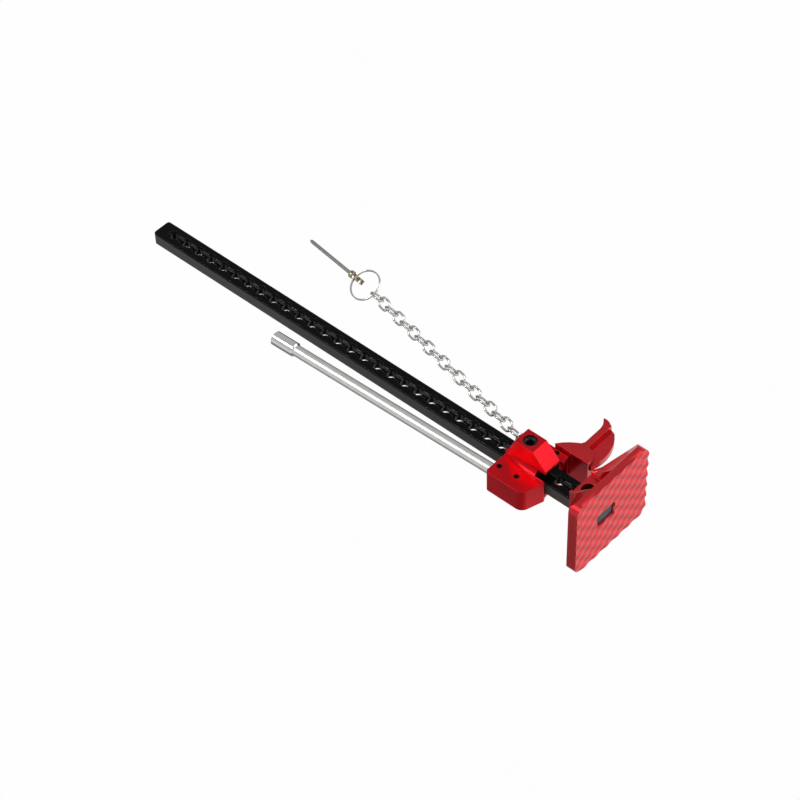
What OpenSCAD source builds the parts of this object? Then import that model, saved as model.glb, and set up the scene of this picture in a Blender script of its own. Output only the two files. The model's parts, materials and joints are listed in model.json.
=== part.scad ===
// Scale-model farm jack lying on its back: a drilled bar in a square foot plate, a head that
// slides on the bar with a hooked lifting nose and a stowed handle, and a locking pin on a chain.
// Frame: +X runs along the bar from the foot plate's outer face, +Y is the handle side, +Z is up.

/* [Bar] */
// Length of the bar
bar_len = 122.6; // [110:0.1:130]
// Width of the bar, along Y
bar_w = 4.9; // [4.5:0.05:5.1]
// Thickness of the bar, along Z
bar_t = 3; // [2.6:0.05:3.1]
// Distance from one bar hole to the next
hole_pitch = 3.7; // [3.6:0.05:3.8]
// Diameter of the bar holes
hole_d = 1.85; // [1.5:0.05:2.1]
// Width of the channel that joins the bar holes on the upper face
groove_w = 1.2; // [1:0.05:1.4]
// Width of the channel on the lower face
under_groove_w = 3; // [2.8:0.05:3.2]
// Depth of both channels
groove_depth = 0.9; // [0.5:0.05:1.1]

/* [Foot plate] */
// Width of the foot plate, along Y
plate_w = 22.1; // [20:0.1:24]
// Height of the foot plate, along Z
plate_h = 19.3; // [16:0.1:20]
// How far the plate's middle lies to the nose side of the bar
plate_shift = 1.95; // [0:0.05:2.4]
// How far the plate's middle lies below the bar
plate_drop = 0.65; // [0:0.05:1]
// Thickness of the plate at its rim
rim_t = 1.9; // [1.5:0.1:2.2]
// Radius of the plate's corners
plate_corner_r = 1.9; // [0.6:0.1:2.4]

/* [Head] */
// Distance from the foot plate to the head's rear face
head_back = 24; // [23.5:0.1:24.5]
// Height of the head's deck above the bar's middle
deck_z = 2.4; // [2.2:0.05:2.8]
// Height of the screw boss above the bar's middle
boss_z = 7.8; // [7.3:0.1:8.6]
// Width of the screw boss
boss_w = 4.3; // [4:0.1:4.8]

/* [Handle] */
// Outside diameter of the handle tube
tube_d = 2.5; // [2.2:0.05:2.6]
// Distance from the foot plate to the handle's free end
handle_end = 82.4; // [60:0.1:95]
// Angle between the handle and the bar
handle_angle = 1.6; // [0:0.1:2]

/* [Chain] */
// Wire diameter of the chain links
link_wire = 0.48; // [0.4:0.02:0.5]
// Distance from one link's middle to the next
link_pitch = 2.74; // [2.7:0.001:2.9]
// Outside width of a link
link_w = 2.7; // [2.6:0.05:3.2]
// Direction of the chain, turned from the bar
chain_yaw = -13.81; // [-20:0.01:-10]
// Downward slope of the chain
chain_dip = 2.05; // [0:0.01:6]
// Turn of the end rings about the chain's own line
chain_roll = -29; // [-45:1:0]
// Turn of the links beyond that of the end rings
link_roll = -20; // [-25:1:25]
// Radius of the split ring, to the middle of its wire
ring_r = 3.45; // [2.8:0.05:3.6]
// Diameter of the locking pin
pin_d = 0.8; // [0.6:0.05:0.9]
// Distance from the ring's middle to the locking pin's point
pin_reach = 19.65; // [16:0.05:22]

/* [Hidden] */
$fn = 48;
LINKS = 19;
// Gap between parts that slide or turn on each other
slide_gap = 0.05;
link_gap = 0.02;
// A cut runs this far past the face it opens
past = 1;

bar_start = 0.6;
bar_end = bar_start + bar_len;
first_hole = 4.6;
hole_total = 1 + floor((bar_end - 3 - first_hole) / hole_pitch);
last_hole = first_hole + (hole_total - 1) * hole_pitch;
bar_edge = 0.2;
bar_corner_r = 0.8;
hole_rim = 0.4;

socket_back = 6.7;
// Block at the plate's back that holds the bar
block_near = 3.35;
block_far = -3.9;
block_front = 4.7;
block_hip = 5.86;
block_z = 5.1;
// Sunk flat for the set screw on that block
flat_near = 2.7;
flat_far = -3.3;
flat_z = 4.3;
plate_edge_back = 2.4;
plate_y = -plate_shift;

screw_d = 2.96;
screw_hole_d = 3.04;
hex_w = 1.5;
head_screw_x = first_hole + 4 * hole_pitch;

handle_y = 5.2;
bore_end = 15.9;
tube_bore = 1.5;
sleeve_len = 6;
sleeve_d = 3.15;
grub_d = 1.2;
grub_x = [18.4, 22.7];

nose_top = 3.5;
nose_floor = 2.3;
arm_under = 0.9;
nose_bottom = -3.6;
nose_gap_y = -5.6;
head_side = -5.5;
deck_under = 3;
nose_pin_at = [16.35, -4.55];
tongue_x = [15.1, 17.6];
tongue_in = 1.95;

eye_at = [25.4, -4.3, 0.5];
eye_r = 0.85;
eye_wire = 0.5;
ring_wire = 0.5;
pin_angle = 4;
ferrule_in = 0.9;
ferrule_out = 5;

// Half the distance between the wire centres at a link's two ends
link_half = (link_pitch + link_wire + link_gap) / 2;
link_r = (link_w - link_wire) / 2;
// Distances along the chain from the eye's middle
first_link = eye_r - (eye_wire + link_wire) / 2 - link_gap + link_half;
ring_along = first_link + (LINKS - 1) * link_pitch + link_half
    - (link_wire + ring_wire) / 2 - link_gap + ring_r;

// Points on an arc about c, from angle a0 to angle a1 in n steps
function arc(c, r, a0, a1, n) =
    [for (i = [0:n]) c + r * [cos(a0 + (a1 - a0) * i / n), sin(a0 + (a1 - a0) * i / n)]];

// A solid made from an outline in X and Z, as wide as w along Y and centred on the bar
module xz_prism(points, w) {
    translate([0, w / 2, 0])
        rotate([90, 0, 0])
            linear_extrude(w)
                polygon(points);
}

// A plate across the bar, t thick along X, made from shapes drawn in Y and Z
module yz_plate(x0, t) {
    translate([x0, 0, 0])
        rotate([90, 0, 90])
            linear_extrude(t)
                children();
}

// A rectangle with round corners, centred on the origin
module round_rect(w, h, r) {
    square([w - 2 * r, h], center = true);
    square([w, h - 2 * r], center = true);
    for (sx = [-1, 1])
        for (sy = [-1, 1])
            translate([sx * (w / 2 - r), sy * (h / 2 - r)])
                circle(r);
}

// A screw with a flat point and a hexagon socket, standing on its point
module set_screw(d, len, socket_w) {
    socket_depth = min(1.4, len * 0.45);
    point = 0.15 * d;
    difference() {
        union() {
            cylinder(d1 = d - 2 * point, d2 = d, h = point);
            translate([0, 0, point])
                cylinder(d = d, h = len - point);
        }
        translate([0, 0, len - socket_depth])
            cylinder(d = socket_w / cos(30), h = socket_depth + past, $fn = 6);
        translate([0, 0, len - 0.12 * d])
            cylinder(d1 = socket_w, d2 = socket_w + 0.26 * d, h = 0.13 * d);
    }
}

// A chain link lying in the XY plane, long side along X
module link() {
    straight = link_half - link_r;
    for (s = [-1, 1]) {
        translate([s * straight, 0, 0])
            rotate([0, 0, s > 0 ? -90 : 90])
                rotate_extrude(angle = 180)
                    translate([link_r, 0])
                        circle(d = link_wire);
        translate([-straight, s * link_r, 0])
            rotate([0, 90, 0])
                cylinder(d = link_wire, h = 2 * straight);
    }
}

// Puts its children in the chain's own frame: X along the chain, starting at the eye's middle
module on_chain(along) {
    translate(eye_at)
        rotate([0, chain_dip, chain_yaw])
            rotate([chain_roll, 0, 0])
                translate([along, 0, 0])
                    children();
}

module chain_link(number) {
    color("silver")
        on_chain(first_link + (number - 1) * link_pitch)
            rotate([link_roll + (number % 2 == 1 ? 90 : 0), 0, 0])
                link();
}

// Bar sections

module bar_blank() {
    half = bar_w / 2;
    far_corner = bar_end - bar_corner_r;
    plan = concat([[bar_start, -half]],
        arc([far_corner, -half + bar_corner_r], bar_corner_r, -90, 0, 8),
        arc([far_corner, half - bar_corner_r], bar_corner_r, 0, 90, 8),
        [[bar_start, half]]);
    y = half;
    z = bar_t / 2;
    section = [[-y + bar_edge, -z], [y - bar_edge, -z], [y, -z + bar_edge], [y, z - bar_edge],
        [y - bar_edge, z], [-y + bar_edge, z], [-y, z - bar_edge], [-y, -z + bar_edge]];
    intersection() {
        translate([0, 0, -bar_t])
            linear_extrude(2 * bar_t)
                polygon(plan);
        yz_plate(0, bar_end + past)
            polygon(section);
    }
}

module bar() {
    color("#151517")
        difference() {
            bar_blank();
            translate([first_hole, -groove_w / 2, bar_t / 2 - groove_depth])
                cube([last_hole - first_hole, groove_w, groove_depth + past]);
            translate([first_hole, -under_groove_w / 2, -bar_t / 2 - past])
                cube([last_hole - first_hole, under_groove_w, groove_depth + past]);
            for (i = [0:hole_total - 1])
                translate([first_hole + i * hole_pitch, 0, 0]) {
                    cylinder(d = hole_d, h = bar_t + 2 * past, center = true);
                    for (side = [0, 1])
                        mirror([0, 0, side])
                            translate([0, 0, bar_t / 2 - hole_rim])
                                cylinder(d1 = hole_d, d2 = hole_d + 4 * hole_rim, h = 2 * hole_rim);
                }
        }
}

// Foot plate sections

module plate_blank() {
    near = plate_y + plate_w / 2;
    far = plate_y - plate_w / 2;
    top = plate_h / 2 - plate_drop;
    foot = -plate_h / 2 - plate_drop;
    hip = [[0, foot], [rim_t, foot], [block_hip, -block_z], [socket_back, -block_z],
        [socket_back, block_z], [block_hip, block_z], [rim_t, top], [0, top]];
    intersection() {
        translate([0, 0, -plate_h])
            linear_extrude(2 * plate_h)
                polygon([[0, far], [plate_edge_back, far], [socket_back, block_far],
                    [socket_back, block_near], [block_front, block_near],
                    [plate_edge_back, near], [0, near]]);
        xz_prism(hip, 4 * plate_w);
        yz_plate(0, 2 * socket_back)
            translate([plate_y, -plate_drop])
                round_rect(plate_w, plate_h, plate_corner_r);
    }
}

module foot_plate() {
    seat_y = bar_w / 2 + slide_gap;
    seat_z = bar_t / 2 + slide_gap;
    color("#b3101c")
        difference() {
            plate_blank();
            // Flat for the set screw
            translate([rim_t, flat_far, flat_z])
                cube([socket_back, flat_near - flat_far, plate_h]);
            // Seat of the bar, open through the outer face
            translate([-past, -seat_y, -seat_z])
                cube([socket_back + 2 * past, 2 * seat_y, 2 * seat_z]);
            translate([first_hole, 0, 0])
                cylinder(d = screw_hole_d, h = plate_h);
        }
}

module foot_set_screw() {
    color("#101010")
        translate([first_hole, 0, bar_t / 2 + 0.03])
            set_screw(screw_d, 1.5, hex_w);
}

// Head sections

head_front = 13.6;
front_lip = 13.1;
lip_y = 3.2;
head_near = 8.2;

module head_deck() {
    corner_r = 2;
    rear_r = 0.7;
    outline = concat([[head_front, -boss_w / 2], [13.9, head_side], [head_back, head_side]],
        arc([head_back - rear_r, head_near - rear_r], rear_r, 0, 90, 6),
        arc([16.2, head_near - corner_r], corner_r, 90, 165, 10),
        [[front_lip, lip_y], [head_front, boss_w / 2]]);
    translate([0, 0, -deck_under])
        linear_extrude(deck_under + deck_z)
            polygon(outline);
}

module head_boss() {
    slope_top = 17;
    slope_foot = 4.3;
    rear_top = 21.7;
    xz_prism([[head_front, 0], [head_front, slope_foot], [slope_top, boss_z], [rear_top, boss_z],
        [head_back - 0.05, deck_z], [head_back - 0.05, 0]], boss_w);
}

// Concave fillets between the boss and the deck, near the front
module boss_fillets() {
    r = 1.7;
    for (side = [0, 1])
        mirror([0, side, 0])
            intersection() {
                yz_plate(head_front, head_back - head_front)
                    difference() {
                        translate([boss_w / 2 - 0.2, deck_z - 0.2])
                            square([r + 0.2, r + 0.2]);
                        translate([boss_w / 2 + r, deck_z + r])
                            circle(r);
                    }
                // The fillet runs out towards the rear
                translate([0, 0, -past])
                    linear_extrude(boss_z)
                        polygon([[head_front, 0], [head_front, boss_w / 2 + r],
                            [head_back - 0.05, boss_w / 2], [head_back - 0.05, 0]]);
            }
}

module handle_axis() {
    translate([bore_end, handle_y, 0])
        rotate([0, 0, handle_angle])
            rotate([0, 90, 0])
                children();
}

module head_block() {
    bar_y = bar_w / 2 + slide_gap;
    bar_z = bar_t / 2 + slide_gap;
    recess_z = 2.1;
    recess_far = 3.2;
    color("#b8101c")
        difference() {
            union() {
                head_deck();
                head_boss();
                boss_fillets();
            }
            // Passage of the bar
            translate([front_lip - past, -bar_y, -bar_z])
                cube([head_back, 2 * bar_y, 2 * bar_z]);
            // Recess in the front, around the bar, with a shallower part on the nose side
            translate([front_lip - past, -recess_far, -recess_z])
                cube([3.6, recess_far + 3, recess_z + 3.7]);
            translate([front_lip - past, head_side + 0.6, -recess_z])
                cube([2.5, 2, recess_z + deck_z - 0.6]);
            translate([head_screw_x, 0, 0])
                cylinder(d = screw_hole_d, h = boss_z + past);
            handle_axis()
                cylinder(d = tube_d + 2 * slide_gap, h = head_back);
            for (x = grub_x)
                translate([x, handle_y + (x - bore_end) * tan(handle_angle), 0])
                    cylinder(d = grub_d + 0.04, h = deck_z + past);
            translate([nose_pin_at[0], nose_pin_at[1], -deck_under - past])
                cylinder(d = grub_d, h = deck_under + deck_z + 2 * past);
            // Slot for the nose's tongue
            translate([tongue_x[0] - slide_gap, head_side - past, -1.1])
                cube([tongue_x[1] - tongue_x[0] + 2 * slide_gap, past + tongue_in, 2.2]);
            translate([head_back - 3.4, eye_at[1], eye_at[2]])
                rotate([0, 90, 0])
                    cylinder(d = 1.24, h = 3.4 + past);
        }
}

module head_set_screw() {
    color("#101010")
        translate([head_screw_x, 0, bar_t / 2 + 0.03])
            set_screw(screw_d, boss_z - 0.35 - bar_t / 2, hex_w);
}

module grub_screws() {
    tip = tube_d / 2 + 0.03;
    len = deck_z - 0.35 - tip;
    socket_d = 0.6;
    color("#101010")
        for (x = grub_x)
            translate([x, handle_y + (x - bore_end) * tan(handle_angle), tip])
                difference() {
                    cylinder(d = grub_d, h = len);
                    translate([0, 0, len / 2])
                        cylinder(d = socket_d, h = len);
                }
}

// Lifting nose: a deep root beside the head and a thin hooked arm with a raised inner rim

outer_arc = [17.5, -9.8];
outer_r = 9.1;
tip_arc = [17.2, -14.2];
tip_r = 3.9;
arm_edge = tip_arc[0] - tip_r;
rim_x = 12;
tip_points = [[14.35, -17.15], [13.7, -17.2], [13, -17], [12.35, -16.6]];

module nose_root_outline() {
    polygon([[17.6, nose_gap_y], [16.7, -6.7], [15.6, -7.7], [14.5, -8.5], [13.7, -9], [rim_x, -9.1],
        [10.6, -8.8], [9.8, -8], [9.3, -7], [9.3, nose_gap_y]]);
}

module nose_arm_outline() {
    polygon(concat([[rim_x - 3, nose_gap_y - 0.6], [13.7, -9], [arm_edge, -9.7]],
        arc(tip_arc, tip_r, 180, 226, 8),
        tip_points,
        arc(outer_arc, outer_r, 223, 168, 20)));
}

module nose_rim_outline() {
    intersection() {
        nose_arm_outline();
        translate([rim_x, -20])
            square([5, 11.1]);
    }
}

module lifting_nose() {
    color("#a80f1a")
        difference() {
            union() {
                translate([0, 0, nose_bottom])
                    linear_extrude(nose_top - nose_bottom)
                        nose_root_outline();
                translate([0, 0, arm_under])
                    linear_extrude(nose_floor - arm_under)
                        nose_arm_outline();
                translate([0, 0, arm_under])
                    linear_extrude(nose_top - arm_under)
                        nose_rim_outline();
                translate([tongue_x[0], nose_gap_y - past, -1.05])
                    cube([tongue_x[1] - tongue_x[0], past + tongue_in, 2.1]);
            }
            translate([nose_pin_at[0], nose_pin_at[1], -deck_z])
                cylinder(d = grub_d, h = 2 * deck_z);
        }
}

module nose_pin() {
    color("#202022")
        translate([nose_pin_at[0], nose_pin_at[1], -deck_under + 0.2])
            cylinder(d = grub_d - 0.06, h = deck_under + deck_z - 0.7);
}

// Handle sections

handle_len = (handle_end - bore_end) / cos(handle_angle);

module handle_tube() {
    color("#b9b7b4")
        handle_axis()
            translate([0, 0, 0.1])
                difference() {
                    cylinder(d = tube_d, h = handle_len - 0.3);
                    translate([0, 0, -past])
                        cylinder(d = tube_bore, h = handle_len + 2 * past);
                }
}

module handle_sleeve() {
    lead = 0.35;
    color("#d2d2d4")
        handle_axis()
            translate([0, 0, handle_len - sleeve_len])
                difference() {
                    union() {
                        cylinder(d1 = sleeve_d - 2 * lead, d2 = sleeve_d, h = lead);
                        translate([0, 0, lead])
                            cylinder(d = sleeve_d, h = sleeve_len - 1.5 * lead);
                        translate([0, 0, sleeve_len - lead / 2])
                            cylinder(d1 = sleeve_d, d2 = sleeve_d - lead, h = lead / 2);
                    }
                    translate([0, 0, -past])
                        cylinder(d = tube_d + 0.04, h = sleeve_len + 2 * past);
                }
}

// Chain ends

module chain_eye_screw() {
    shank_d = 1.2;
    shank_start = head_back - 3.3;
    eye_back = eye_at[0] - eye_r;
    color("silver") {
        translate([shank_start, eye_at[1], eye_at[2]])
            rotate([0, 90, 0])
                cylinder(d = shank_d, h = eye_back - shank_start + 0.1);
        translate([head_back + 0.02, eye_at[1], eye_at[2]])
            rotate([0, 90, 0])
                cylinder(d = 1.7, h = 0.3);
        on_chain(0)
            rotate_extrude()
                translate([eye_r, 0])
                    circle(d = eye_wire);
    }
}

module split_ring() {
    color("silver")
        on_chain(ring_along)
            rotate_extrude()
                translate([ring_r, 0])
                    circle(d = ring_wire);
}

// Puts its children in the locking pin's frame: X along the pin, from the ring's middle
module on_pin(along) {
    on_chain(ring_along)
        rotate([0, 0, pin_angle])
            translate([along, 0, 0])
                children();
}

module pin_ferrule() {
    tab_t = 1.1;
    tab_r = 1.1;
    collar_d = 1.7;
    eye_hole = 1.1;
    color("#c9b48a")
        difference() {
            union() {
                // Flat eye around the ring's wire
                on_pin(ring_r)
                    rotate([90, 0, 0]) {
                        cylinder(r = tab_r, h = tab_t, center = true);
                        translate([-ring_r + ferrule_in + 0.6, 0, 0])
                            cylinder(r = 0.6, h = tab_t, center = true);
                        translate([-ring_r + ferrule_in + 0.6, -0.6, -tab_t / 2])
                            cube([ring_r - ferrule_in, 1.2, tab_t]);
                    }
                on_pin(ring_r + 0.8)
                    rotate([0, 90, 0])
                        cylinder(d = collar_d, h = ferrule_out - ring_r - 0.8);
            }
            on_pin(ring_r)
                rotate([90, 0, 0])
                    cylinder(d = eye_hole, h = 4, center = true);
            on_pin(ring_r + 1.1)
                rotate([0, 90, 0])
                    cylinder(d = pin_d + 0.02, h = ferrule_out);
        }
}

module locking_pin() {
    point = 0.5;
    pin_start = ring_r + 1.15;
    color("#c4c2bd")
        on_pin(pin_start)
            rotate([0, 90, 0]) {
                cylinder(d = pin_d, h = pin_reach - pin_start - point);
                translate([0, 0, pin_reach - pin_start - point])
                    cylinder(d1 = pin_d, d2 = pin_d * 0.45, h = point);
            }
}

bar();
foot_plate();
foot_set_screw();
head_block();
head_set_screw();
lifting_nose();
nose_pin();
handle_tube();
handle_sleeve();
grub_screws();
chain_eye_screw();
chain_link(1);  // link_01
chain_link(2);  // link_02
chain_link(3);  // link_03
chain_link(4);  // link_04
chain_link(5);  // link_05
chain_link(6);  // link_06
chain_link(7);  // link_07
chain_link(8);  // link_08
chain_link(9);  // link_09
chain_link(10);  // link_10
chain_link(11);  // link_11
chain_link(12);  // link_12
chain_link(13);  // link_13
chain_link(14);  // link_14
chain_link(15);  // link_15
chain_link(16);  // link_16
chain_link(17);  // link_17
chain_link(18);  // link_18
chain_link(19);  // link_19
split_ring();
pin_ferrule();
locking_pin();
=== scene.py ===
import json
import math

import bmesh
import bpy
from mathutils import Matrix, Vector


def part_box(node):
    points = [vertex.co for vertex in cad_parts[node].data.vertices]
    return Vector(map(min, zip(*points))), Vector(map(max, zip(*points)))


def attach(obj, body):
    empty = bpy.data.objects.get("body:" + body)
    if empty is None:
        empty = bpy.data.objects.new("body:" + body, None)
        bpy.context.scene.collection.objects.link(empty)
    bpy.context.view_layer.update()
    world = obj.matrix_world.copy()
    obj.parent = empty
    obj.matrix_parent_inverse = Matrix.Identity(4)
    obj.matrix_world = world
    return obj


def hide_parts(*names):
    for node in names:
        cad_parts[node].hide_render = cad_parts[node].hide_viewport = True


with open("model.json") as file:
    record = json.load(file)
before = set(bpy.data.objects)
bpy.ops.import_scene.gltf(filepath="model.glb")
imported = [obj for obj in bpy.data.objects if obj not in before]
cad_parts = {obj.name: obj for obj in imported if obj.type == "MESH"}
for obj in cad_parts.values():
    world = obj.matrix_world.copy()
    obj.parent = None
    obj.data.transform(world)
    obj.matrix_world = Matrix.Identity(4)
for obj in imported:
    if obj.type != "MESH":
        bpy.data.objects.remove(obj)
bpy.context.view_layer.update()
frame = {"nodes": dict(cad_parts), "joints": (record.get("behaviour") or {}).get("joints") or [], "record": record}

MM = 0.001

# Camera, in metres and degrees
CAMERA_AT = Vector((-0.18873, 0.25806, 0.38005))
CAMERA_YAW = -46.75
CAMERA_DOWN = 47.38
CAMERA_ROLL = -2.0
LENS_MM = 114.4

# Raised pattern on the foot plate's outer face
RELIEF_Y = 3.44 * MM
RELIEF_Z = 3.05 * MM
RELIEF_DEPTH = 0.36 * MM
RELIEF_AT_Y = -0.8 * MM
RELIEF_AT_Z = -0.65 * MM
RELIEF_STEP = 0.17 * MM
PLATE_RIM = 2.4 * MM
CUTTER_FRONT = -1 * MM

# Mouth of the window that shows the bar's end
WINDOW_WIDE = 5.4 * MM
WINDOW_HIGH = 3.5 * MM
WINDOW_DEEP = 0.4 * MM
WINDOW_R = 0.35 * MM

# Chain and split ring
LINKS = 19
LINK_WIRE = 0.48 * MM
LINK_LONG = 3.72 * MM
LINK_WIDE = 2.7 * MM
LINK_BUTT = 0.05 * MM
LINK_STEPS = 20
RING_R = 3.45 * MM
RING_WIRE = 0.3 * MM
RING_OFFSET = 0.15 * MM
RING_STEPS = 220
RING_GAP = math.radians(14)
RING_CROSSING = math.radians(16)
RING_SEAM = math.radians(215)
WIRE_SIDES = 14
WIRE_NIB = 0.25
WIRE_NIB_R = 0.72

# Clean-up and shading of meshes
WELD = 0.0005 * MM
FLAT_ANGLE = math.radians(0.5)
CAD_SMOOTH = math.radians(24)
PLATE_SMOOTH = math.radians(22)
WIRE_SMOOTH = math.radians(50)
ROUND_ABOVE = math.radians(32)
NORMAL_WEIGHT = 80
EDGE_ROUND = {
    "head_block": 0.12 * MM,
    "foot_set_screw": 0.05 * MM,
    "head_set_screw": 0.05 * MM,
    "pin_ferrule": 0.12 * MM,
}

# Directions the studio is lit from
FLOOR_GLOW = (0.5, 0.74, 0.45)
DARK_SKY = (0.464, -0.493, 0.736)
KEY_WAY = (-0.75, -0.49, 0.44)
STRIP_WAY = (0.464, 0.493, 0.736)
LIT_POINT = Vector((0.04, 0, 0))

# Floor, wide enough to have no visible edge
FLOOR_GAP = 0.4 * MM
FLOOR_HALF = 3.0

# Sockets of a Mix node
MIX_FACTOR = 0
MIX_A = 6
MIX_B = 7
MIX_OUT = 2

BEVEL_SAMPLES = 6
CAVITY_SAMPLES = 4


# Small helpers

def link_object(name, mesh):
    made = bpy.data.objects.new(name, mesh)
    bpy.context.scene.collection.objects.link(made)
    return made


def mesh_from(name, verts, faces):
    mesh = bpy.data.meshes.new(name)
    mesh.from_pydata(verts, [], faces)
    mesh.validate()
    mesh.update()
    return mesh


def closed_mesh(name, verts, faces):
    """A mesh whose faces all point outwards."""
    mesh = mesh_from(name, verts, faces)
    work = bmesh.new()
    work.from_mesh(mesh)
    bmesh.ops.recalc_face_normals(work, faces=work.faces)
    work.to_mesh(mesh)
    work.free()
    return mesh


def smooth(mesh, sharp_above):
    """Smooth shading that stays sharp on edges steeper than this angle."""
    mesh.polygons.foreach_set("use_smooth", [True] * len(mesh.polygons))
    mesh.set_sharp_from_angle(angle=sharp_above)


def box_middle(node):
    low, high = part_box(node)
    return (low + high) / 2


def joint_axis(name):
    found = next(j for j in frame["joints"] if j["name"] == name)
    return Vector(found["axis"]).normalized()


def chain_direction():
    return (box_middle("link_19") - box_middle("link_01")).normalized()


# Node trees

def join(tree, node, values):
    """Links each socket, or sets each plain value, to the node's input of that name or number."""
    for key, value in values.items():
        if isinstance(value, bpy.types.NodeSocket):
            tree.links.new(value, node.inputs[key])
        else:
            node.inputs[key].default_value = value


def add(tree, kind, inputs=None, **settings):
    made = tree.nodes.new(kind)
    for name, value in settings.items():
        setattr(made, name, value)
    join(tree, made, inputs or {})
    return made


def mix_colour(tree, factor, a, b):
    made = add(tree, "ShaderNodeMix", {MIX_FACTOR: factor, MIX_A: a, MIX_B: b}, data_type="RGBA")
    return made.outputs[MIX_OUT]


def remap(tree, value, from_min, from_max, to_min, to_max):
    made = add(tree, "ShaderNodeMapRange", {
        "Value": value,
        "From Min": from_min,
        "From Max": from_max,
        "To Min": to_min,
        "To Max": to_max,
    })
    return made.outputs[0]


def noise(tree, coords, scale, detail=3.0, stretch=(1, 1, 1)):
    mapping = add(tree, "ShaderNodeMapping", {"Vector": coords, "Scale": stretch})
    made = add(tree, "ShaderNodeTexNoise", {
        "Vector": mapping.outputs[0],
        "Scale": scale,
        "Detail": detail,
        "Roughness": 0.6,
    })
    return made.outputs[0]


def math_node(tree, operation, a, b):
    return add(tree, "ShaderNodeMath", {0: a, 1: b}, operation=operation).outputs[0]


def rounded_normal(tree, radius):
    return add(tree, "ShaderNodeBevel", {"Radius": radius}, samples=BEVEL_SAMPLES).outputs[0]


def edge_mask(tree, radius):
    """1 along edges, 0 on flat faces: where the rounded normal leaves the true one."""
    true = add(tree, "ShaderNodeNewGeometry")
    dot = add(tree, "ShaderNodeVectorMath", {
        0: rounded_normal(tree, radius),
        1: true.outputs["Normal"],
    }, operation="DOT_PRODUCT")
    return remap(tree, dot.outputs["Value"], 0.94, 0.75, 0.0, 1.0)


def cavity(tree, distance):
    """0 in narrow gaps and pockets, 1 on open faces."""
    made = add(tree, "ShaderNodeAmbientOcclusion", {"Distance": distance}, samples=CAVITY_SAMPLES)
    return remap(tree, made.outputs["AO"], 0.25, 0.75, 0.0, 1.0)


def bump(tree, height, distance, strength, normal=None):
    inputs = {"Height": height, "Distance": distance, "Strength": strength}
    if normal is not None:
        inputs["Normal"] = normal
    return add(tree, "ShaderNodeBump", inputs).outputs[0]


def new_material(name):
    made = bpy.data.materials.new(name)
    made.use_nodes = True
    tree = made.node_tree
    tree.nodes.clear()
    bsdf = add(tree, "ShaderNodeBsdfPrincipled")
    add(tree, "ShaderNodeOutputMaterial", {"Surface": bsdf.outputs[0]})
    coords = add(tree, "ShaderNodeTexCoord").outputs["Object"]
    return made, tree, bsdf, coords


# Materials

def red_anodised(name, coat, coat_rough):
    """Red anodised metal: cloudy tone, fine grain, paler edges and painted shade darkening the gaps."""
    made, tree, bsdf, coords = new_material(name)
    clouds = noise(tree, coords, 260.0, 4.0)
    grain = noise(tree, coords, 9000.0, 2.0)
    milling = noise(tree, coords, 1400.0, 2.0, (1, 1, 9))
    edges = edge_mask(tree, 0.16 * MM)
    shade = remap(tree, clouds, 0.3, 0.7, 0.0, 1.0)
    colour = mix_colour(tree, shade, (0.62, 0.001, 0.008, 1), (0.74, 0.002, 0.012, 1))
    surface_colour = mix_colour(tree, math_node(tree, "MULTIPLY", edges, 0.55), colour, (0.85, 0.10, 0.12, 1))
    # painted shade: gaps and pockets darkened from ambient occlusion
    surface_colour = mix_colour(tree, cavity(tree, 1.2 * MM), (0.16, 0.0005, 0.002, 1), surface_colour)
    rough = remap(tree, clouds, 0.3, 0.7, 0.33, 0.42)
    normal = bump(tree, grain, 0.004 * MM, 0.5, rounded_normal(tree, 0.1 * MM))
    normal = bump(tree, milling, 0.003 * MM, 0.4, normal)
    join(tree, bsdf, {
        "Base Color": surface_colour,
        "Metallic": 0.9,
        "Roughness": rough,
        "Coat Weight": coat,
        "Coat Roughness": coat_rough,
        "Normal": normal,
    })
    return made


def black_anodised():
    """Black anodised metal, rubbed bare along open edges, with painted reflection greying the end face and sides.
    """
    made, tree, bsdf, coords = new_material("black_anodised")
    clouds = noise(tree, coords, 300.0, 4.0)
    draw = noise(tree, coords, 2500.0, 3.0, (0.06, 1, 1))
    grain = noise(tree, coords, 11000.0, 2.0)
    edges = edge_mask(tree, 0.1 * MM)
    colour = mix_colour(tree, clouds, (0.0015, 0.0015, 0.0017, 1), (0.004, 0.004, 0.0042, 1))
    rubbed = math_node(tree, "MULTIPLY", edges, cavity(tree, 0.6 * MM))
    surface_colour = mix_colour(tree, rubbed, colour, (0.42, 0.42, 0.43, 1))
    facing = add(tree, "ShaderNodeSeparateXYZ", {
        "Vector": add(tree, "ShaderNodeTexCoord").outputs["Normal"],
    })
    # painted reflection: the end face and the sides are painted greyer by their direction
    painted_end_sheen = remap(tree, facing.outputs["X"], -0.9, -0.98, 0.0, 1.0)
    side = remap(tree, math_node(tree, "ABSOLUTE", facing.outputs["Y"], 0), 0.9, 0.98, 0.0, 1.0)
    surface_colour = mix_colour(tree, painted_end_sheen, surface_colour, (0.06, 0.065, 0.065, 1))
    surface_colour = mix_colour(tree, side, surface_colour, (0.075, 0.07, 0.07, 1))
    rough = remap(tree, draw, 0.25, 0.75, 0.10, 0.20)
    normal = bump(tree, draw, 0.003 * MM, 0.5, rounded_normal(tree, 0.14 * MM))
    normal = bump(tree, grain, 0.002 * MM, 0.4, normal)
    join(tree, bsdf, {
        "Base Color": surface_colour,
        "Metallic": rubbed,
        "Roughness": rough,
        "Specular IOR Level": 0.07,
        "Normal": normal,
    })
    return made


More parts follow.
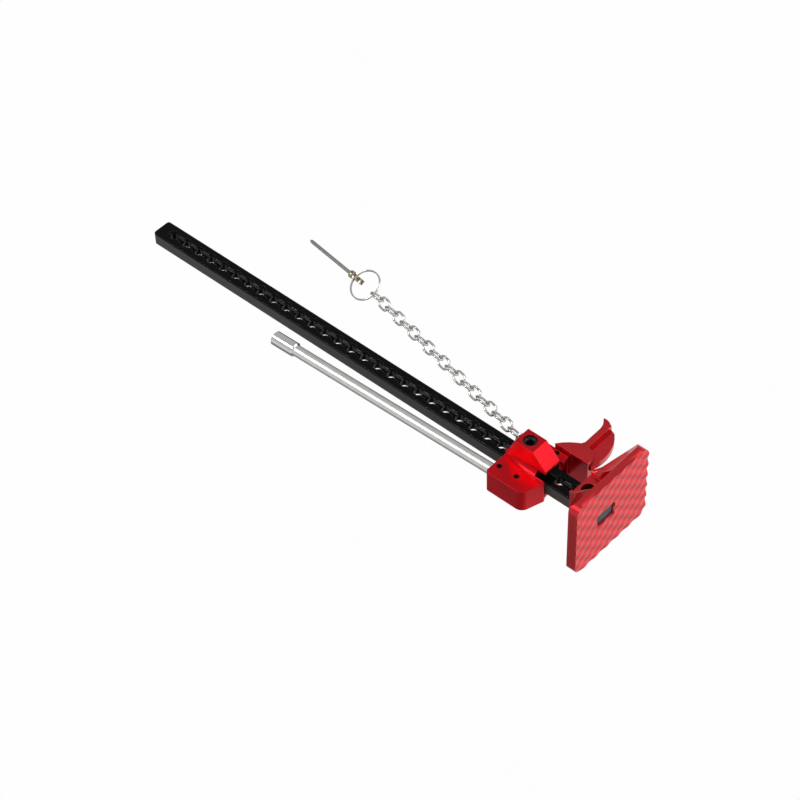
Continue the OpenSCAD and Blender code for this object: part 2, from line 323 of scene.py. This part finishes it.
def black_oxide():
    made, tree, bsdf, coords = new_material("black_oxide")
    clouds = noise(tree, coords, 1500.0, 4.0)
    grain = noise(tree, coords, 12000.0, 2.0)
    edges = edge_mask(tree, 0.07 * MM)
    colour = mix_colour(tree, clouds, (0.004, 0.004, 0.005, 1), (0.012, 0.012, 0.013, 1))
    surface_colour = mix_colour(tree, math_node(tree, "MULTIPLY", edges, 0.5), colour, (0.12, 0.12, 0.125, 1))
    join(tree, bsdf, {
        "Base Color": surface_colour,
        "Metallic": 0.3,
        "Roughness": remap(tree, clouds, 0.3, 0.7, 0.3, 0.48),
        "Normal": bump(tree, grain, 0.003 * MM, 0.5),
    })
    return made


def bare_metal(name, dark, light, rough_low, rough_high, ring_scale=0.0, spots=0.0, rim=0.0):
    """Bright metal: cloudy tone, fine scratches and polished edges.

    ring_scale adds turned rings, spots adds tarnish, and rim paints shade on what is seen at a slant.
    """
    made, tree, bsdf, coords = new_material(name)
    clouds = noise(tree, coords, 700.0, 4.0)
    scratch = noise(tree, coords, 3500.0, 3.0, (0.08, 1, 1))
    edges = edge_mask(tree, 0.08 * MM)
    colour = mix_colour(tree, clouds, dark, light)
    if spots:
        pits = remap(tree, noise(tree, coords, 1100.0, 2.0), 0.42, 0.5, 1.0, 0.0)
        tarnish = math_node(tree, "MULTIPLY", pits, spots)
        colour = mix_colour(tree, tarnish, colour, (0.05, 0.035, 0.02, 1))
    colour = mix_colour(tree, math_node(tree, "MULTIPLY", edges, 0.4), colour, (0.95, 0.95, 0.95, 1))
    if rim:
        # painted shade: darker where the surface is seen at a slant
        turned = add(tree, "ShaderNodeLayerWeight", {"Blend": 0.5}).outputs["Facing"]
        shade = remap(tree, turned, 0.2, 0.7, 0.0, rim)
        colour = mix_colour(tree, shade, colour, (0.03, 0.028, 0.025, 1))
    rough = remap(tree, clouds, 0.3, 0.7, rough_low, rough_high)
    normal = bump(tree, scratch, 0.0015 * MM, 0.5)
    if ring_scale:
        rings = noise(tree, coords, ring_scale, 2.0, (1, 0.02, 0.02))
        normal = bump(tree, rings, 0.006 * MM, 0.6, normal)
    join(tree, bsdf, {
        "Base Color": colour,
        "Metallic": 1.0,
        "Roughness": rough,
        "Normal": normal,
    })
    return made


def floor_material():
    """White to the camera; in reflections bright only towards the foot plate's side."""
    made = bpy.data.materials.new("floor_white")
    made.use_nodes = True
    tree = made.node_tree
    tree.nodes.clear()
    coords = add(tree, "ShaderNodeTexCoord").outputs["Object"]
    mottle = noise(tree, coords, 30.0, 3.0)
    seen = add(tree, "ShaderNodeEmission", {
        "Color": mix_colour(tree, mottle, (0.98, 0.98, 0.98, 1), (1, 1, 1, 1)),
    })
    back = add(tree, "ShaderNodeNewGeometry").outputs["Incoming"]
    lobe = add(tree, "ShaderNodeVectorMath", {0: back, 1: FLOOR_GLOW}, operation="DOT_PRODUCT")
    upright = add(tree, "ShaderNodeSeparateXYZ", {"Vector": back}).outputs["Z"]
    horizon = remap(tree, upright, 0.68, 0.4, 0.0, 0.55)
    towards = remap(tree, lobe.outputs["Value"], 0.3, 1.0, 0.22, 0.95)
    glow = add(tree, "ShaderNodeEmission", {
        "Color": (1, 1, 1, 1),
        "Strength": math_node(tree, "ADD", horizon, towards),
    })
    is_camera = add(tree, "ShaderNodeLightPath").outputs["Is Camera Ray"]
    both = add(tree, "ShaderNodeMixShader", {0: is_camera, 1: glow.outputs[0], 2: seen.outputs[0]})
    add(tree, "ShaderNodeOutputMaterial", {"Surface": both.outputs[0]})
    return made


def make_materials():
    return {
        "red_anodised": red_anodised("red_anodised", 0.12, 0.2),
        "red_milled": red_anodised("red_milled", 0.8, 0.5),
        "red_bright": red_anodised("red_bright", 0.7, 0.12),
        "black_anodised": black_anodised(),
        "black_oxide": black_oxide(),
        "satin_steel": bare_metal(
            "satin_steel", (0.70, 0.69, 0.68, 1), (0.84, 0.83, 0.82, 1), 0.30, 0.42, 5200.0),
        "chromed_steel": bare_metal(
            "chromed_steel", (0.72, 0.72, 0.73, 1), (0.8, 0.8, 0.81, 1), 0.05, 0.12),
        "nickel_brass": bare_metal(
            "nickel_brass", (0.62, 0.52, 0.34, 1), (0.82, 0.76, 0.6, 1), 0.14, 0.26, 0.0, 0.8, 0.6),
        "pin_steel": bare_metal(
            "pin_steel", (0.42, 0.40, 0.37, 1), (0.6, 0.58, 0.54, 1), 0.16, 0.28, 4000.0, rim=0.6),
        "chain_steel": bare_metal(
            "chain_steel", (0.72, 0.71, 0.69, 1), (0.88, 0.87, 0.85, 1), 0.08, 0.18, rim=0.9),
    }


# CAD nodes that keep their shape

def smooth_group(angle):
    """Geometry nodes that shade faces smooth and keep edges above this angle sharp."""
    group = bpy.data.node_groups.new("smooth_by_angle", "GeometryNodeTree")
    group.interface.new_socket("Geometry", in_out="INPUT", socket_type="NodeSocketGeometry")
    group.interface.new_socket("Geometry", in_out="OUTPUT", socket_type="NodeSocketGeometry")
    start = add(group, "NodeGroupInput")
    slope = add(group, "GeometryNodeInputMeshEdgeAngle")
    flat = add(group, "ShaderNodeMath", {0: slope.outputs[0], 1: angle},
               operation="LESS_THAN")
    faces = add(group, "GeometryNodeSetShadeSmooth", {0: start.outputs[0], 2: True}, domain="FACE")
    edges = add(group, "GeometryNodeSetShadeSmooth", {0: faces.outputs[0], 2: flat.outputs[0]},
                domain="EDGE")
    add(group, "NodeGroupOutput", {0: edges.outputs[0]})
    return group


def refine(node, group, edge_radius):
    """Welds a CAD node's mesh, rounds its edges a little and shades its curves smooth."""
    weld = node.modifiers.new("weld", "WELD")
    weld.merge_threshold = WELD
    if edge_radius:
        flat = node.modifiers.new("flat", "DECIMATE")
        flat.decimate_type = "DISSOLVE"
        flat.angle_limit = FLAT_ANGLE
        bevel = node.modifiers.new("edges", "BEVEL")
        bevel.width = edge_radius
        bevel.segments = 2
        bevel.limit_method = "ANGLE"
        bevel.angle_limit = ROUND_ABOVE
        bevel.use_clamp_overlap = True
    shade = node.modifiers.new("shade", "NODES")
    shade.node_group = group
    if edge_radius:
        even = node.modifiers.new("even", "WEIGHTED_NORMAL")
        even.keep_sharp = True
        even.weight = NORMAL_WEIGHT


# Foot plate with its raised pattern

def relief_depth(y, z):
    """Depth below the highest points at this place on the outer face."""
    across = math.cos(2 * math.pi * (y - RELIEF_AT_Y) / RELIEF_Y)
    up = math.cos(2 * math.pi * (z - RELIEF_AT_Z) / RELIEF_Z)
    wave = across * up
    return RELIEF_DEPTH * (1 - wave) / 2


def relief_cutter(low, high):
    """A solid in front of the plate whose back surface is the raised pattern's negative."""
    margin = 1 * MM
    y0 = low.y - margin
    z0 = low.z - margin
    ny = int((high.y + margin - y0) / RELIEF_STEP)
    nz = int((high.z + margin - z0) / RELIEF_STEP)
    verts = []
    for iy in range(ny + 1):
        for iz in range(nz + 1):
            y = y0 + iy * RELIEF_STEP
            z = z0 + iz * RELIEF_STEP
            verts.append((relief_depth(y, z), y, z))
    count = len(verts)
    verts += [(CUTTER_FRONT, y, z) for _, y, z in verts]
    row = nz + 1
    faces = []
    for iy in range(ny):
        for iz in range(nz):
            a = iy * row + iz
            quad = (a, a + 1, a + row + 1, a + row)
            faces.append(quad[::-1])
            faces.append(tuple(i + count for i in quad))
    rim = list(range(nz))
    rim += [iy * row + nz for iy in range(ny)]
    rim += [ny * row + iz for iz in range(nz, 0, -1)]
    rim += [iy * row for iy in range(ny, 0, -1)]
    for i, a in enumerate(rim):
        b = rim[(i + 1) % len(rim)]
        faces.append((a, b, b + count, a + count))
    return link_object("relief_cutter", closed_mesh("relief_cutter", verts, faces))


def window_cutter():
    """The wider mouth of the window in the foot plate's outer face."""
    half_y = WINDOW_WIDE / 2
    half_z = WINDOW_HIGH / 2
    corners = []
    for cy, cz, start in ((1, 1, 0), (-1, 1, 90), (-1, -1, 180), (1, -1, 270)):
        for turn in (0, 30, 60, 90):
            a = math.radians(start + turn)
            corners.append((
                cy * (half_y - WINDOW_R) + WINDOW_R * math.cos(a),
                cz * (half_z - WINDOW_R) + WINDOW_R * math.sin(a)))
    count = len(corners)
    verts = [(CUTTER_FRONT, y, z) for y, z in corners]
    verts += [(WINDOW_DEEP, y, z) for y, z in corners]
    faces = [tuple(range(count)), tuple(reversed(range(count, 2 * count)))]
    for i in range(count):
        n = (i + 1) % count
        faces.append((i, i + count, n + count, n))
    return link_object("window_cutter", closed_mesh("window_cutter", verts, faces))


def relief_plate(material, face_material):
    """The foot plate with its raised pattern and the window's mouth cut into the outer face."""
    node = frame["nodes"]["foot_plate"]
    work = bmesh.new()
    work.from_mesh(node.data)
    bmesh.ops.remove_doubles(work, verts=work.verts, dist=WELD)
    bmesh.ops.dissolve_limit(
        work, angle_limit=FLAT_ANGLE, verts=work.verts, edges=work.edges)
    mesh = bpy.data.meshes.new("foot_plate_relief")
    work.to_mesh(mesh)
    work.free()
    plate = link_object("foot_plate_relief", mesh)
    cutters = [relief_cutter(*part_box("foot_plate")), window_cutter()]
    for cutter in cutters:
        cut = plate.modifiers.new("cut", "BOOLEAN")
        cut.operation = "DIFFERENCE"
        cut.solver = "EXACT"
        cut.object = cutter
    apply_modifiers(plate)
    for cutter in cutters:
        bpy.data.objects.remove(cutter)
    smooth(plate.data, PLATE_SMOOTH)
    plate.data.materials.clear()
    plate.data.materials.append(material)
    plate.data.materials.append(face_material)
    for face in plate.data.polygons:
        on_sole = face.normal.x < -0.7 and face.center.x < 1.2 * RELIEF_DEPTH
        on_rim = abs(face.normal.x) < 0.1 and face.center.x < PLATE_RIM
        if on_sole or on_rim:
            face.material_index = 1
    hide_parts("foot_plate")
    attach(plate, "frame")


def apply_modifiers(piece):
    bpy.context.view_layer.update()
    ready = piece.evaluated_get(bpy.context.evaluated_depsgraph_get())
    mesh = bpy.data.meshes.new_from_object(ready)
    piece.modifiers.clear()
    piece.data = mesh


# Wire pieces

def wire_stations(path, radius):
    """Where the wire's rings go and how wide they are, with a small chamfer past each cut end."""
    nib = WIRE_NIB * radius
    first = path[0] + (path[0] - path[1]).normalized() * nib
    last = path[-1] + (path[-1] - path[-2]).normalized() * nib
    body = [(at, radius) for at in path]
    return [(first, radius * WIRE_NIB_R)] + body + [(last, radius * WIRE_NIB_R)]


def sweep(name, path, radius):
    """A round wire along a path that runs more or less in the XY plane."""
    normal = Vector((0, 0, 1))
    stations = wire_stations(path, radius)
    total = len(stations)
    verts = []
    rings = []
    for i, (at, r) in enumerate(stations):
        before = stations[max(i - 1, 0)][0]
        after = stations[min(i + 1, total - 1)][0]
        along = (after - before).normalized()
        side = along.cross(normal).normalized()
        up = side.cross(along).normalized()
        rings.append(range(len(verts), len(verts) + WIRE_SIDES))
        for k in range(WIRE_SIDES):
            a = 2 * math.pi * k / WIRE_SIDES
            verts.append(at + (side * math.cos(a) + up * math.sin(a)) * r)
    faces = []
    for a, b in zip(rings, rings[1:]):
        for k in range(WIRE_SIDES):
            n = (k + 1) % WIRE_SIDES
            faces.append((a[k], a[n], b[n], b[k]))
    faces.append(tuple(reversed(rings[0])))
    faces.append(tuple(rings[-1]))
    mesh = mesh_from(name, [tuple(v) for v in verts], faces)
    smooth(mesh, WIRE_SMOOTH)
    return mesh


def link_mesh():
    """A bent wire link whose two ends meet in the middle of one long side."""
    r = (LINK_WIDE - LINK_WIRE) / 2
    straight = (LINK_LONG - LINK_WIRE) / 2 - r
    seam = LINK_BUTT / 2 + 0.12 * LINK_WIRE
    path = [Vector((seam, -r, 0))]
    for s in (1, -1):
        for i in range(LINK_STEPS + 1):
            a = math.radians(-90 * s + 180 * i / LINK_STEPS)
            path.append(Vector((s * straight + r * math.cos(a), r * math.sin(a), 0)))
    path.append(Vector((-seam, -r, 0)))
    return sweep("chain_link", path, LINK_WIRE / 2)


def placed(middle, along, up):
    """The matrix that puts X on along and Z on up at this place."""
    y = up.cross(along).normalized()
    z = along.cross(y).normalized()
    turn = Matrix((along, y, z)).transposed().to_4x4()
    return Matrix.Translation(middle) @ turn


def make_chain(material):
    along = chain_direction()
    mesh = link_mesh()
    mesh.materials.append(material)
    for number in range(1, LINKS + 1):
        node = f"link_{number:02d}"
        piece = link_object(f"chain_{node}", mesh)
        piece.matrix_world = placed(box_middle(node), along, joint_axis(f"{node}_swing"))
        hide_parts(node)
        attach(piece, node)


def make_split_ring(material):
    """Two turns of wire lying side by side, crossing over where the ends stop."""
    path = []
    for i in range(RING_STEPS + 1):
        turn = RING_GAP + (4 * math.pi - 2 * RING_GAP) * i / RING_STEPS
        axial = RING_OFFSET * math.tanh((turn - 2 * math.pi) / RING_CROSSING)
        path.append(Vector((RING_R * math.cos(turn), RING_R * math.sin(turn), axial)))
    mesh = sweep("split_ring_coil", path, RING_WIRE / 2)
    mesh.materials.append(material)
    piece = link_object("split_ring_coil", mesh)
    seam = Matrix.Rotation(RING_SEAM, 4, "Z")
    lying = placed(box_middle("split_ring"), chain_direction(), joint_axis("ring_swing"))
    piece.matrix_world = lying @ seam
    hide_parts("split_ring")
    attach(piece, "ring")


# Stage

def make_camera():
    yaw = math.radians(CAMERA_YAW)
    down = math.radians(CAMERA_DOWN)
    roll = math.radians(CAMERA_ROLL)
    forward = Vector((
        math.cos(down) * math.cos(yaw), math.cos(down) * math.sin(yaw), -math.sin(down)))
    level = Vector((math.sin(yaw), -math.cos(yaw), 0))
    upright = level.cross(forward)
    right = math.cos(roll) * level + math.sin(roll) * upright
    up = math.cos(roll) * upright - math.sin(roll) * level
    data = bpy.data.cameras.new("camera")
    data.lens = LENS_MM
    data.sensor_width = 36
    data.clip_start = 0.01
    data.clip_end = 10
    camera = link_object("camera", data)
    turn = Matrix((right, up, -forward)).transposed().to_4x4()
    camera.matrix_world = Matrix.Translation(CAMERA_AT) @ turn
    bpy.context.scene.camera = camera


def make_floor():
    """A level pale plane just under the foot plate's lower edge."""
    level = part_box("foot_plate")[0].z - FLOOR_GAP
    verts = [(x * FLOOR_HALF, y * FLOOR_HALF, level) for x, y in
             ((-1, -1), (1, -1), (1, 1), (-1, 1))]
    floor = link_object("floor", mesh_from("floor", verts, [(0, 1, 2, 3)]))
    floor.data.materials.append(floor_material())


def make_light(name, direction, distance, size, power):
    data = bpy.data.lights.new(name, "AREA")
    data.shape = "RECTANGLE"
    data.size, data.size_y = size
    data.energy = power
    light = link_object(name, data)
    way = Vector(direction).normalized()
    light.location = LIT_POINT + way * distance
    light.rotation_euler = (-way).to_track_quat("-Z", "Y").to_euler()


def make_world():
    """White to the camera; for reflections dark overhead on the far side and grey elsewhere."""
    world = bpy.data.worlds.new("studio")
    world.use_nodes = True
    tree = world.node_tree
    tree.nodes.clear()
    way = add(tree, "ShaderNodeTexCoord").outputs["Generated"]
    dot = add(tree, "ShaderNodeVectorMath", {0: way, 1: DARK_SKY}, operation="DOT_PRODUCT")
    grey = remap(tree, dot.outputs["Value"], -0.2, 0.6, 0.6, 0.5)
    is_camera = add(tree, "ShaderNodeLightPath").outputs["Is Camera Ray"]
    colour = mix_colour(tree, is_camera, grey, (1, 1, 1, 1))
    background = add(tree, "ShaderNodeBackground", {"Color": colour, "Strength": 1.0})
    add(tree, "ShaderNodeOutputWorld", {"Surface": background.outputs[0]})
    bpy.context.scene.world = world


def make_lights():
    make_light("key", KEY_WAY, 0.6, (0.45, 0.3), 0.75)
    make_light("strip", STRIP_WAY, 0.8, (0.22, 0.22), 1.5)


def dress_nodes(materials):
    group = smooth_group(CAD_SMOOTH)
    for part in frame["record"]["subparts"]:
        name = part["node"]
        node = frame["nodes"][name]
        node.data.materials.clear()
        slot = "red_bright" if name == "lifting_nose" else part["material_slot"]
        node.data.materials.append(materials[slot])
        refine(node, group, EDGE_ROUND.get(name, 0))


materials = make_materials()
dress_nodes(materials)
relief_plate(materials["red_bright"], materials["red_milled"])
make_chain(materials["chain_steel"])
make_split_ring(materials["chain_steel"])
make_floor()
make_world()
make_lights()
make_camera()
bpy.context.scene.view_settings.view_transform = "Standard"
